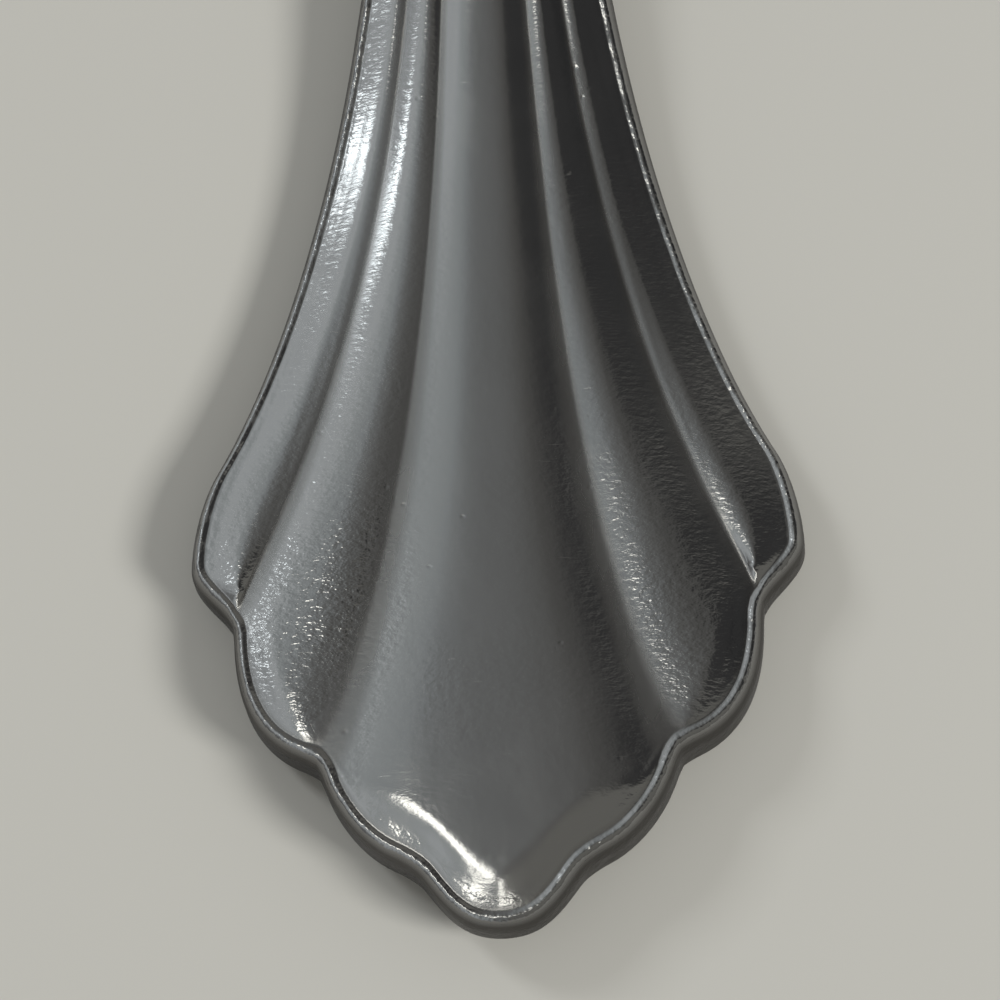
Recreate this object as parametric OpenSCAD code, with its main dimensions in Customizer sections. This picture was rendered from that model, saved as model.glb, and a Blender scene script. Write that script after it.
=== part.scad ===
// A spoon with a fluted handle that opens into a scalloped fan.
// The real spoon is stamped and coined from one blank of stainless steel.
// Here each named region of that one piece is a closed solid of its own,
// and neighbours share the same section, so they meet face to face.
// The length runs along Y with the handle's tip at -Y, +X is to the right
// and +Z is up. The spoon lies bowl up on the plane z = 0.

/* [Spoon] */
// Overall length, from the tip of the handle to the front of the bowl
spoon_length = 180; // [168:1:200]

/* [Bowl] */
// Length of the bowl
bowl_length = 61; // [54:1:66]
// Width of the bowl
bowl_width = 41; // [36:1:46]
// Depth of the hollow below the rim
bowl_depth = 8.8; // [7:0.1:10.5]
// Thickness of the metal at the bottom of the bowl
bowl_floor = 1.7; // [1.4:0.1:2.4]
// Width of the flat top of the rim
rim_width = 1.2; // [0.9:0.1:1.6]
// Thickness of the metal at the rim
rim_thickness = 1.2; // [0.9:0.1:1.6]
// How much higher the rim is at the neck than at the front
rim_tilt = 0.7; // [0:0.1:1.5]
// Depth of the worn spot that the bowl rests on
worn_depth = 0.1; // [0.05:0.05:0.2]

/* [Neck] */
// Width of the neck
neck_width = 5.7; // [5:0.1:7]
// Thickness of the neck
neck_thickness = 3.3; // [2.8:0.1:4]
// Distance from the front of the bowl back to the highest point of the handle
neck_from_front = 74; // [71:1:80]
// Height of the underside at that point
neck_rise = 10.2; // [8:0.2:13]
// How far the top of the neck is rounded across
neck_crown = 0.8; // [0.4:0.1:1]
// Length over which the neck starts to open into the shoulders
shoulder_run = 6; // [4:0.5:8]

/* [Shank] */
// Share of the way from the fan to the neck's top where the flutes have died out
flute_share = 0.73; // [0.5:0.01:0.88]
// Share of the way from the fan to the neck's top where the neck starts
shank_share = 0.91; // [0.89:0.01:0.96]
// Share of the way from the fan to the neck's top where the shank is narrowest
waist_share = 0.48; // [0.3:0.01:0.8]

/* [Fan] */
// Width of the fan over its outer lobes
fan_width = 24.6; // [20:0.1:27]
// Distance from the tip to the end of the fan
fan_reach = 40; // [34:1:44]
// Thickness of the middle of the fan
fan_thickness = 3.2; // [2.8:0.1:3.6]
// Thickness at the very tip
tip_thickness = 2.3; // [1.9:0.1:2.8]
// Thickness where the fan joins the shank
join_thickness = 3.3; // [2.9:0.1:3.8]
// Depth of the valleys between the flutes, at the lobes
flute_depth = 0.34; // [0.2:0.02:0.5]
// Width of the bevel that ends each flute
bevel_width = 1.4; // [1:0.1:1.8]
// Angle between the crest of the tip's bevel and a line across the handle
crest_angle = 43.6; // [38:0.1:48]
// How far the fan is arched across, at its widest place
fan_crown = 0.9; // [0.4:0.05:1.1]
// How far the handle is rounded across where the fan joins the shank
join_crown = 0.95; // [0.4:0.05:1.2]
// How far the tip is lifted off the table
tip_lift = 1.4; // [0:0.1:3]
// Distance from the tip to the place where the handle touches the table
rest_reach = 32; // [26:1:38]

/* [Edge] */
// Width of the rounded border all round the handle
edge_round = 0.6; // [0.4:0.05:0.7]
// Height of the fine bead on that border
bead_height = 0.08; // [0.04:0.01:0.16]
// How far the notches between the lobes are filled by their rounding
notch_fill = 0.14; // [0.1:0.02:0.3]
// Distance from a notch over which the outline is rounded
notch_reach = 0.8; // [0.7:0.1:1.4]

/* [Hidden] */

steel = [0.62, 0.63, 0.64];
dark_steel = [0.50, 0.51, 0.52];
light_steel = [0.72, 0.72, 0.71];

fan_half = fan_width / 2;
neck_half = neck_width / 2;
bowl_a = bowl_length / 2;
bowl_b = bowl_width / 2;
bowl_mid = spoon_length - bowl_a;
neck_reach = spoon_length - neck_from_front;
flute_reach = fan_reach + flute_share * (neck_reach - fan_reach);
shank_reach = fan_reach + shank_share * (neck_reach - fan_reach);
waist_reach = fan_reach + waist_share * (neck_reach - fan_reach);

// The border's cross-section: place inwards, drop of the top, rise of the
// underside, all as shares of edge_round, and the bead as a share of its height
border_shares = [[0, 1.25, 0.9, 0], [0.12, 0.55, 0.4, 0.2], [0.35, 0.14, 0.14, 0.65],
                 [0.66, 0, 0.03, 1], [1, 0, 0, 0]];

// Outline of the fan's right half, as shares of fan_half and fan_reach.
// Each lobe is one smooth cubic curve between two notches.
flank_shares = [[0.443, 1], [0.541, 0.816], [0.719, 0.615], [0.926, 0.5]];
cheek_shares = [[0.926, 0.5], [0.961, 0.481], [1, 0.435], [1, 0.4]];
lobe_1_shares = [[1, 0.4], [1, 0.38], [0.945, 0.365], [0.857, 0.335]];
lobe_2_shares = [[0.857, 0.335], [0.86, 0.28], [0.833, 0.2], [0.58, 0.178]];
lobe_3_shares = [[0.58, 0.178], [0.545, 0.13], [0.435, 0.08], [0.282, 0.067]];
tip_shares = [[0.282, 0.067], [0.192, 0.029], [0.143, 0], [0, 0]];
// The two valleys, from where their straight ends begin up to the fan's end
valley_1_shares = [[0.815, 0.37], [0.545, 0.53], [0.364, 0.74], [0.266, 1]];
valley_2_shares = [[0.507, 0.226], [0.27, 0.425], [0.184, 0.75], [0.144, 1]];
axis_shares = [[0, 0.055], [0, 0.33], [0, 0.68], [0, 1]];

// Steps over the straight end of a valley, and across an outer petal
across_shares = [0.14, 0.3, 0.5, 0.67, 0.84, 1];
// Columns across the centre panel's half and across an inner petal
tip_column_shares = [0, 0.1, 0.2, 0.3, 0.38, 0.45];
lobe_3_column_shares = [0.52, 0.61, 0.72, 0.83, 0.93, 1];
inner_column_shares = [0, 0.08, 0.24, 0.42, 0.56, 0.7, 0.83, 0.93, 1];
// Where each petal's crest lies across it, and its height beside the centre
// panel's
inner_crest_share = 0.42;
inner_height_share = 0.88;
outer_crest_share = 0.67;
outer_height_share = 0.7;
// Height of the border beside an outer petal, as a share of the flute depth
border_height_share = 0.25;
// Rows round the outer lobe, up its cheek and along the flank
lobe_rows = 5;
cheek_rows = 4;
flank_rows = 11;
rows = lobe_rows + cheek_rows + flank_rows;
// Rows along the fluted shank, the plain shank and the neck
fluted_rows = 12;
plain_rows = 3;
neck_rows = 8;
// Share of the valley curve that lies beside the outer lobe and its cheek
lobe_valley_share = 0.28;
// How the rows gather at the start of the valley curve
row_power = 1.4;
// How full the centre panel, the end bevel and a petal's ridge are. A ridge is
// full near the lobes and more like a roof further up the handle.
dome_power = 1.7;
bevel_power = 1.35;
lobe_power = 2.1;
roof_power = 1.5;
lobe_power_share = 0.2;
roof_power_share = 0.55;
// Rounding of the underside, as a share of the top's
fan_belly_share = 0.1;
neck_belly_share = 0.7;
// Reach of the lobes' bulge into the fan, as a share of fan_reach
bulge_share = 0.4;
// Flute depth where the fan joins the shank, as a share of flute_depth, and
// the shares of the fan's length between which it gets there
shank_flute_share = 0.52;
deep_start_share = 0.3;
deep_end_share = 0.8;
// Share of the fan's length at which it starts to thicken and to round
swell_share = 0.4;
// Share of the fan's length over which it thins out to the tip
taper_share = 0.22;
// Where the flutes start to die out, as a share of the fluted shank
fade_start_share = 0.2;

// Bowl: egg shape, and how full its section is
egg_share = 0.07;
dish_power = 2.5;
// Where the shoulders run into the bowl's outline, as an angle from the neck
shoulder_angle = 37;
// Share of the fall from the neck to the rim that belongs to the neck
neck_share = 0.65;
// Share of the half length at which the dish law stops, just short of its end
near_end = 0.999;
// The bowl's smallest half width, at its two ends
end_half = edge_round;

// Plain arithmetic
function mix(a, b, t) = a + (b - a) * t;
function clamp(t) = min(1, max(0, t));
function ease(t) = let (u = clamp(t)) u * u * (3 - 2 * u);
function unit(v) = v / norm(v);
function cubic(p, t) = p[0] * pow(1 - t, 3) + 3 * p[1] * t * pow(1 - t, 2)
    + 3 * p[2] * t * t * (1 - t) + p[3] * pow(t, 3);
function cubic_slope(p, t) = (p[1] - p[0]) * pow(1 - t, 2) + 2 * (p[2] - p[1]) * t * (1 - t)
    + (p[3] - p[2]) * t * t;
function reversed(list) = [for (i = [len(list) - 1:-1:0]) list[i]];
function fan_points(shares) = [for (p = shares) [p[0] * fan_half, p[1] * fan_reach]];

// Half width of the shank: a parabola that runs out at the waist
shank_start = flank_shares[0][0] * fan_half;
function shank_half(s) = let (t = clamp((s - fan_reach) / (waist_reach - fan_reach)))
    mix(shank_start, neck_half, 1 - pow(1 - t, 2));

// Half width of the bowl: an ellipse, a little fuller towards the neck
function egg_half(s, a, b) = let (e = clamp(abs(s - bowl_mid) / a), side = s < bowl_mid ? 1 : -1)
    b * sqrt(1 - e * e) * (1 + side * egg_share * e);

// Shoulders: a parabola from the neck onto a tangent of the bowl's outline
tangent_s = bowl_mid - bowl_a * cos(shoulder_angle);
tangent_half = egg_half(tangent_s, bowl_a, bowl_b);
tangent_slope = bowl_b * (cos(shoulder_angle) * (1 + egg_share * cos(shoulder_angle))
    - egg_share * pow(sin(shoulder_angle), 2)) / (bowl_a * sin(shoulder_angle));
corner_s = tangent_s - (tangent_half - neck_half) / tangent_slope;
shoulder_s = corner_s - shoulder_run;
function shoulder_half(s) = let (a = shoulder_s - 2 * corner_s + tangent_s,
                                 b = 2 * (corner_s - shoulder_s),
                                 c = s - shoulder_s,
                                 t = 2 * c / (b + sqrt(b * b + 4 * a * c)))
    mix(neck_half, tangent_half, t * t);
function half_width(s) = s <= fan_reach ? shank_start
    : s <= shoulder_s ? shank_half(s)
    : s <= tangent_s ? shoulder_half(s)
    : max(end_half, egg_half(s, bowl_a, bowl_b));

// Side view. The rim is a straight line that climbs towards the neck.
rim_mid = bowl_depth + bowl_floor;
function rim_z(s) = rim_mid + rim_tilt * (bowl_mid - s) / bowl_length;
// The dish law: full depth in the middle and nothing on the outline
function dish(e, x) = 1 - pow(max(0, 1 - (1 - e * e) * (1 - x * x)), dish_power / 2);
dish_depth = rim_mid - rim_thickness + worn_depth;
function dish_place(s) = min(near_end, abs(s - bowl_mid) / bowl_a);
function dish_bottom(s) = rim_z(s) - rim_thickness - dish_depth * dish(dish_place(s), 0);

hollow_start = spoon_length - bowl_length + rim_width;
neck_top = neck_rise + neck_thickness;

// 0 at the end of the fan, 1 where it joins the shank, and smooth between
function swell(s) = ease((s / fan_reach - swell_share) / (1 - swell_share));
function thickness(s) = s < fan_reach ? mix(fan_thickness, join_thickness, swell(s))
        - (fan_thickness - tip_thickness) * pow(clamp(1 - s / (fan_reach * taper_share)), 2)
    : mix(join_thickness, neck_thickness, ease((s - fan_reach) / (shank_reach - fan_reach)));
function handle_bottom(s) = s < rest_reach ? tip_lift * pow(1 - s / rest_reach, 2)
    : neck_rise * ease((s - rest_reach) / (neck_reach - rest_reach));

// Underside on the centre line: the handle, a smooth heel, then the dish
heel_step = edge_round;
heel_slope = (dish_bottom(tangent_s + heel_step) - dish_bottom(tangent_s)) / heel_step;
function heel_bottom(s) = let (h = tangent_s - neck_reach, t = (s - neck_reach) / h)
    neck_rise * (2 * pow(t, 3) - 3 * t * t + 1) + dish_bottom(tangent_s) * (3 * t * t - 2 * pow(t, 3))
    + h * heel_slope * (pow(t, 3) - t * t);
function bottom_mid(s) = s < neck_reach ? handle_bottom(s)
    : s < tangent_s ? heel_bottom(s) : dish_bottom(s);

// Top on the centre line: the handle, the fall to the rim, then the rim line
function fall(s) = ease((s - neck_reach) / (hollow_start - neck_reach));
function top_mid(s) = s < neck_reach ? handle_bottom(s) + thickness(s)
    : s < hollow_start ? mix(neck_top, rim_z(hollow_start), fall(s)) : rim_z(s);

// How far the top's edges lie below its middle, and the underside's above
function crown(s) = s < neck_reach
    ? mix(join_crown, neck_crown, ease((s - fan_reach) / (neck_reach - fan_reach)))
    : mix(neck_crown, 0, fall(s));
fan_belly = fan_crown * fan_belly_share;
neck_belly = neck_crown * neck_belly_share;
function handle_belly(s) = mix(fan_belly * pow(shank_start / fan_half, 2), neck_belly,
                               ease((s - fan_reach) / (neck_reach - fan_reach)));
function edge_bottom(s) = s < neck_reach ? handle_bottom(s) + handle_belly(s)
    : s < tangent_s ? mix(neck_rise + neck_belly, rim_z(tangent_s) - rim_thickness,
                          ease((s - neck_reach) / (tangent_s - neck_reach)))
    : rim_z(s) - rim_thickness;

// The underside across a section, from the handle's round to the dish
function belly(s, x) = let (plain = 1 - x * x, e = dish_place(s),
                            full = dish(e, x) / dish(e, 0),
                            m = s < bowl_mid ? ease((s - shoulder_s) / (tangent_s - shoulder_s)) : 1)
    mix(plain, full, m);
function bottom_z(s, x) = let (xs = clamp(abs(x) / half_width(s)), low = bottom_mid(s), high = edge_bottom(s))
    max(0, high - (high - low) * belly(s, xs));

// A closed sheet from a grid whose entries are [x, s, top z, bottom z, bottom x].
// Rows run towards the bowl and columns run from left to right. Where an
// entry has no bottom x, the underside has the same x as the top.
module sheet(grid) {
    n = len(grid);
    m = len(grid[0]);
    points = concat(
        [for (row = grid, p = row) [p[0], p[1] - spoon_length / 2, p[2]]],
        [for (row = grid, p = row) [is_undef(p[4]) ? p[0] : p[4], p[1] - spoon_length / 2, p[3]]]);
    function at(side, i, j) = side * n * m + i * m + j;
    function quad(a, b, c, d) = [[a, b, c], [a, c, d]];
    faces = [
        for (i = [0:n - 2], j = [0:m - 2])
            each quad(at(0, i, j), at(0, i + 1, j), at(0, i + 1, j + 1), at(0, i, j + 1)),
        for (i = [0:n - 2], j = [0:m - 2])
            each quad(at(1, i, j), at(1, i, j + 1), at(1, i + 1, j + 1), at(1, i + 1, j)),
        for (j = [0:m - 2])
            each quad(at(0, 0, j), at(0, 0, j + 1), at(1, 0, j + 1), at(1, 0, j)),
        for (j = [0:m - 2])
            each quad(at(0, n - 1, j + 1), at(0, n - 1, j), at(1, n - 1, j), at(1, n - 1, j + 1)),
        for (i = [0:n - 2])
            each quad(at(0, i + 1, 0), at(0, i, 0), at(1, i, 0), at(1, i + 1, 0)),
        for (i = [0:n - 2])
            each quad(at(0, i, m - 1), at(0, i + 1, m - 1), at(1, i + 1, m - 1), at(1, i, m - 1))
    ];
    polyhedron(points, faces, convexity = 6);
}

// Fan: valleys, notches and the directions that lead inwards from them
flank = fan_points(flank_shares);
cheek = fan_points(cheek_shares);
lobe_1 = fan_points(lobe_1_shares);
lobe_2 = fan_points(lobe_2_shares);
lobe_3 = fan_points(lobe_3_shares);
tip_lobe = fan_points(tip_shares);
valley_1 = fan_points(valley_1_shares);
valley_2 = fan_points(valley_2_shares);
axis_line = fan_points(axis_shares);
function normal(curve, t) = let (d = unit(cubic_slope(curve, t))) [d[1], -d[0]];
// Each notch: its place and its way inwards
notches = [[lobe_1[3], unit(valley_1[0] - lobe_1[3])],
           [lobe_2[3], unit(valley_2[0] - lobe_2[3])],
           [lobe_3[3], unit(normal(lobe_3, 1) + normal(tip_lobe, 0))]];
into_1 = notches[0][1];
into_2 = notches[1][1];
into_3 = notches[2][1];
function nearness(p, notch) = clamp(1 - norm(p - notch[0]) / notch_reach);
// The outline at a point of its curves, with the notches rounded
function outline(p) = p - notch_fill * (into_1 * pow(nearness(p, notches[0]), 2)
    + into_2 * pow(nearness(p, notches[1]), 2) + into_3 * pow(nearness(p, notches[2]), 2));
function inward(curve, t) = let (p = cubic(curve, t), a = [for (notch = notches) nearness(p, notch)])
    unit(normal(curve, t) * (1 - max(a)) + into_1 * a[0] + into_2 * a[1] + into_3 * a[2]);
notch_1 = outline(lobe_1[3]);
notch_2 = outline(lobe_2[3]);

// Share of a valley's curve reached by each row, slow beside the lobe
function row_share(i) = let (near = lobe_rows + cheek_rows)
    i <= near ? lobe_valley_share * pow(i / near, row_power)
    : mix(lobe_valley_share, 1, (i - near) / flank_rows);

// A line from a notch: across the border, straight on, then along its curve
function valley_line(notch, into, curve) = let (foot = notch + into * edge_round) concat(
    [for (b = border_shares) notch + into * b[0] * edge_round],
    [for (g = across_shares) mix(foot, curve[0], g)],
    [for (i = [1:rows]) cubic(curve, row_share(i))]);
line_1 = valley_line(notch_1, into_1, valley_1);
line_2 = valley_line(notch_2, into_2, valley_2);
line_0 = valley_line([0, 0], [0, 1], axis_line);
border_rows = len(border_shares);
foot_row = border_rows - 1;

// Depth of the flutes along the handle, as a share of flute_depth
function flute_scale(s) = s < fan_reach
    ? mix(1, shank_flute_share, ease((s / fan_reach - deep_start_share) / (deep_end_share - deep_start_share)))
    : shank_flute_share * (1 - ease(((s - fan_reach) / (flute_reach - fan_reach) - fade_start_share)
                                    / (1 - fade_start_share)));
// Rise of a ridge at a share of the way from its foot to its crest
function fullness(s) = mix(lobe_power, roof_power,
                           ease((s / fan_reach - lobe_power_share) / (roof_power_share - lobe_power_share)));
function flank_rise(share, s) = 1 - pow(1 - clamp(share), fullness(s));
function ridge(w, crest, s) = inner_height_share
    * flank_rise(w < crest ? w / crest : (1 - w) / (1 - crest), s);
function dome(w) = 1 - ease(pow(w, dome_power));
function bevel(share) = 1 - pow(1 - clamp(share), bevel_power);
// The petals' bevels are even. The tip's ends at a straight crest line, which
// runs from the notch to the middle, so its width varies.
crest_way = [-sin(crest_angle), cos(crest_angle)];
crest_round = edge_round / 3;
function above_crest(p) = sqrt(p[0] * p[0] + crest_round * crest_round) * crest_way[0]
    + (p[1] - edge_round - bevel_width) * crest_way[1];
function tip_share(p, foot) = 1 - above_crest(p) / min(-crest_round, above_crest(foot));

// A point of the fan: rise is the flute's height here from 0 to 1, and the
// border's drop, rise and bead come from its table
fan_curve = fan_crown / pow(fan_half, 2);
join_curve = join_crown / pow(shank_start, 2);
function fan_point(p, rise, border) = let (s = p[1], depth = flute_depth * flute_scale(s),
                                           low = handle_bottom(s) + fan_belly * pow(p[0] / fan_half, 2))
    [p[0], s,
     handle_bottom(s) + thickness(s) - depth * (1 - rise) - mix(fan_curve, join_curve, swell(s)) * pow(p[0], 2)
         - border[1] * edge_round + border[3] * bead_height,
     low + border[2] * edge_round];
no_border = [0, 0, 0, 0];

// A strip of the fan between two valley lines, whose end is pushed out to
// the lobes. Each column knows its share across, its place on the outline,
// its way inwards and where the crest lies, or dome_mark for the centre panel.
dome_mark = -1;
function strip_point(r, c, left, right, bulge) = let (
    w = c[0],
    chord = mix(left[r], right[r], w),
    reach = bulge_share * fan_reach,
    b = r < foot_row ? 1 : pow(1 - clamp((right[r][1] - right[foot_row][1]) / reach), 2))
    r < foot_row ? c[1] + c[2] * border_shares[r][0] * edge_round : chord + bulge * b;
function strip(columns, left, right) = [for (r = [0:len(left) - 1]) [for (c = columns) let (
    foot = c[1] + c[2] * edge_round,
    bulge = foot - mix(left[foot_row], right[foot_row], c[0]),
    p = strip_point(r, c, left, right, bulge),
    full = c[3] < 0 ? dome(c[0]) : ridge(c[0], c[3], p[1]),
    share = c[3] < 0 ? tip_share(p, foot) : (p - foot) * c[2] / bevel_width,
    rise = min(full, bevel(share)))
    fan_point(p, r <= foot_row ? 0 : rise, r <= foot_row ? border_shares[r] : no_border)]];

// Columns of an inner petal, from the inner valley to the outer one
inner_last = len(inner_column_shares) - 1;
inner_columns = [for (j = [0:inner_last]) let (w = inner_column_shares[j], t = 1 - w)
    [w, outline(cubic(lobe_2, t)), inward(lobe_2, t), inner_crest_share]];

// Columns of the centre panel's right half, from the middle to the valley
notch_3_share = tip_column_shares[len(tip_column_shares) - 1];
lobe_3_last = len(lobe_3_column_shares) - 1;
half_columns = concat(
    [for (w = tip_column_shares) let (t = 1 - w / notch_3_share)
        [w, outline(cubic(tip_lobe, t)), w == 0 ? [0, 1] : inward(tip_lobe, t), dome_mark]],
    [for (j = [0:lobe_3_last]) let (w = lobe_3_column_shares[j], t = 1 - (w - notch_3_share) / (1 - notch_3_share))
        [w, outline(cubic(lobe_3, t)), inward(lobe_3, t), dome_mark]]);
right_half = strip(half_columns, line_0, line_2);
function flipped(row) = [for (j = [len(row) - 1:-1:1]) let (p = row[j])
    concat([-p[0], p[1], p[2], p[3]], is_undef(p[4]) ? [] : [-p[4]])];
centre_grid = [for (row = right_half) concat(flipped(row), row)];
inner_grid = strip(inner_columns, line_2, line_1);

// Outer petal: one ridge carried round the lobe and up the flank
function outer_edge(i) = i <= lobe_rows ? outline(cubic(lobe_1, 1 - i / lobe_rows))
    : i <= lobe_rows + cheek_rows ? cubic(cheek, 1 - (i - lobe_rows) / cheek_rows)
    : cubic(flank, 1 - (i - lobe_rows - cheek_rows) / flank_rows);
into_1_angle = atan2(into_1[1], into_1[0]);
function outer_inward(i) = let (a = mix(into_1_angle, 180, clamp(i / lobe_rows))) [cos(a), sin(a)];
valley_side = [for (i = [0:rows]) line_1[foot_row + len(across_shares) + i]];
function segment_gap(p, a, b) = let (d = b - a, t = clamp((p - a) * d / (d * d))) norm(p - a - d * t);
function valley_gap(p) = min([for (i = [1:rows]) segment_gap(p, valley_side[i - 1], valley_side[i])]);
function outer_rise(i, g, p, width) = let (
    inner_side = flank_rise(valley_gap(p) / ((1 - outer_crest_share) * width), p[1]),
    border_side = mix(border_height_share * ease(i / lobe_rows), 1, flank_rise(g / outer_crest_share, p[1])))
    outer_height_share * min(inner_side, border_side);
function side_rise(i) = outer_height_share * border_height_share * ease(i / lobe_rows);
function outer_row(i) = let (edge = outer_edge(i), into = outer_inward(i), foot = edge + into * edge_round,
                             valley = valley_side[i], width = norm(foot - valley)) concat(
    [for (g = reversed(across_shares)) let (p = mix(foot, valley, g))
        fan_point(p, i == 0 || g == 1 ? 0 : outer_rise(i, g, p, width), no_border)],
    [for (b = reversed(border_shares)) fan_point(edge + into * b[0] * edge_round, side_rise(i), b)]);
outer_grid = [for (i = [0:rows]) outer_row(i)];

// Fluted shank: the fan's last section carried on and faded out
valley_2_side_share = valley_2_shares[3][0] / flank_shares[0][0];
valley_1_side_share = valley_1_shares[3][0] / flank_shares[0][0];
function shank_point(s, x, rise, border) = let (h = half_width(s), depth = flute_depth * flute_scale(s),
                                                xs = x / h)
    [x, s,
     handle_bottom(s) + thickness(s) - depth * (1 - rise) - crown(s) * xs * xs
         - border[1] * edge_round + border[3] * bead_height * flute_scale(s) / shank_flute_share,
     bottom_z(s, x) + border[2] * edge_round];
function shank_half_row(s) = let (h = half_width(s), v2 = h * valley_2_side_share,
                                  v1 = h * valley_1_side_share, foot = h - edge_round) concat(
    [for (c = half_columns) shank_point(s, v2 * c[0], dome(c[0]), no_border)],
    [for (j = [1:inner_last]) let (w = inner_column_shares[j])
        shank_point(s, mix(v2, v1, w), ridge(w, inner_crest_share, s), no_border)],
    [for (k = [len(across_shares) - 2:-1:0]) let (g = across_shares[k])
        shank_point(s, mix(foot, v1, g), shank_outer_rise(g), no_border)],
    [for (b = reversed(border_shares)) shank_point(s, h - b[0] * edge_round, side_rise(rows), b)]);
function shank_outer_rise(g) = outer_height_share
    * min(flank_rise((1 - g) / (1 - outer_crest_share), fan_reach),
          mix(border_height_share, 1, flank_rise(g / outer_crest_share, fan_reach)));
function whole_row(half) = concat(flipped(half), half);
fluted_grid = [for (i = [0:fluted_rows]) whole_row(shank_half_row(mix(fan_reach, flute_reach, i / fluted_rows)))];

// Plain shank and neck: a crowned bar with the same border
plain_column_shares = [0, 0.25, 0.5, 0.75];
function bar_point(s, x, border) = let (xs = clamp(abs(x) / half_width(s)))
    [x, s, top_mid(s) - crown(s) * xs * xs - border[1] * edge_round, bottom_z(s, x) + border[2] * edge_round];
function bar_half_row(s) = let (foot = half_width(s) - edge_round) concat(
    [for (c = plain_column_shares) bar_point(s, foot * c, no_border)],
    [for (b = reversed(border_shares)) bar_point(s, half_width(s) - b[0] * edge_round, b)]);
function bar_grid(start, end, steps) = [for (i = [0:steps]) whole_row(bar_half_row(mix(start, end, i / steps)))];

// Bowl: the neck's last section opens into the rim, which carries the hollow.
// Half its columns lie in the hollow, and the others cross the rim.
hollow_column_shares = [0, 0.17, 0.34, 0.5, 0.64, 0.76, 0.86, 0.94, 1];
neck_column_shares = [0, 0.12, 0.25, 0.38, 0.5, 0.62, 0.73, 0.83, 0.92];
lip_shares = [[0.6, 0, 0], [0.2, 0.08, 0.08], [0, 0.35, 0.35]];
lip = edge_round;
function hollow_half(s) = max(end_half, egg_half(s, bowl_a - rim_width, bowl_b - rim_width));
function hollow_z(s, share) = let (e = min(1, abs(s - bowl_mid) / (bowl_a - rim_width)))
    bowl_depth * dish(e, share);
function bowl_half_row(s) = let (
    m = ease((s - bowl_start) / (hollow_start - bowl_start)),
    h = half_width(s),
    inner = hollow_half(s)) concat(
    [for (j = [0:len(hollow_column_shares) - 1]) let (
        k = hollow_column_shares[j],
        low_x = (h - lip) * neck_column_shares[j],
        x = mix(low_x, min(h - lip, inner) * k, m),
        xs = x / h)
        [x, s, top_mid(s) - crown(s) * xs * xs - hollow_z(s, k), bottom_z(s, low_x), low_x]],
    [for (b = lip_shares) let (x = h - b[0] * min(lip, h), xs = x / h)
        [x, s, top_mid(s) - crown(s) * xs * xs - b[1] * lip, bottom_z(s, x) + b[2] * lip, x]]);
bowl_start = mix(neck_reach, hollow_start, neck_share);
entry_rows = 4;
hollow_step = 9;
hollow_angles = [for (a = [0:hollow_step:180]) a];
hollow_a = bowl_a - rim_width;
lip_row_shares = [0.3, 0.6, 0.8, 0.93, 1];
bowl_stations = concat(
    [for (i = [0:entry_rows - 1]) mix(bowl_start, hollow_start, i / entry_rows)],
    [for (a = hollow_angles) bowl_mid - hollow_a * cos(a)],
    [for (k = lip_row_shares) mix(bowl_mid + hollow_a, spoon_length, k)]);
bowl_grid = [for (s = bowl_stations) whole_row(bowl_half_row(s))];

module bowl() { color(steel) sheet(bowl_grid); }
module neck() { color(light_steel) sheet(bar_grid(shank_reach, bowl_start, neck_rows)); }
module plain_shank() { color(steel) sheet(bar_grid(flute_reach, shank_reach, plain_rows)); }
module fluted_shank() { color(light_steel) sheet(fluted_grid); }
module centre_panel() { color(dark_steel) sheet(centre_grid); }
module right_inner_petal() { color(steel) sheet(inner_grid); }
module left_inner_petal() { color(steel) mirror([1, 0, 0]) sheet(inner_grid); }
module right_outer_petal() { color(light_steel) sheet(outer_grid); }
module left_outer_petal() { color(light_steel) mirror([1, 0, 0]) sheet(outer_grid); }

bowl();
neck();
plain_shank();
fluted_shank();
centre_panel();
right_inner_petal();
left_inner_petal();
right_outer_petal();
left_outer_petal();
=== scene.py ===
import math
import bpy
import numpy as np
from mathutils import Matrix, Vector


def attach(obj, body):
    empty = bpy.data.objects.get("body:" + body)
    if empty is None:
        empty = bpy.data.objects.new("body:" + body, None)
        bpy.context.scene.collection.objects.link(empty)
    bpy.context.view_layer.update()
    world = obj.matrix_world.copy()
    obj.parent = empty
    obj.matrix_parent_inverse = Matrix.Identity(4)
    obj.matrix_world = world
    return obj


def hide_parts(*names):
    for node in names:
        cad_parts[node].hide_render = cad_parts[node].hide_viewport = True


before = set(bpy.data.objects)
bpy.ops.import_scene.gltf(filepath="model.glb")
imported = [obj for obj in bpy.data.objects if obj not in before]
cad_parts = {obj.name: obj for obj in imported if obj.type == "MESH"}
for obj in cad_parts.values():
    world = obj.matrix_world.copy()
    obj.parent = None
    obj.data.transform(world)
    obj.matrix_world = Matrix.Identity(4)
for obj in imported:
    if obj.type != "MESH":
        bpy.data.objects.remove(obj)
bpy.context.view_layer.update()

# Handle: one strip of the stainless steel blank, forged to its side view, with
# a lifted tip, a resting place under the fan and an arch up to the neck.
# Sizes are in millimetres, and s is the distance from the handle's tip.
FAN_REACH = 40.0
FAN_THICKNESS = 3.2
TIP_THICKNESS = 2.3
TIP_TAPER = 0.22
TIP_LIFT = 1.4
REST_REACH = 32.0
SWELL_START = 0.4
SHANK_THICKNESS = 3.3
SHANK_REACH = 100.0
NECK_THICKNESS = 3.3
NECK_REACH = 106.0
NECK_RISE = 10.2


def mix(a, b, t):
    """a where t is 0, b where t is 1, and a straight line between them."""
    return a + (b - a) * t


def ease(t):
    """A smooth step: 3 t squared minus 2 t cubed, held at 0 and 1 outside."""
    u = np.clip(t, 0, 1)
    return u * u * (3 - 2 * u)


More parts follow.
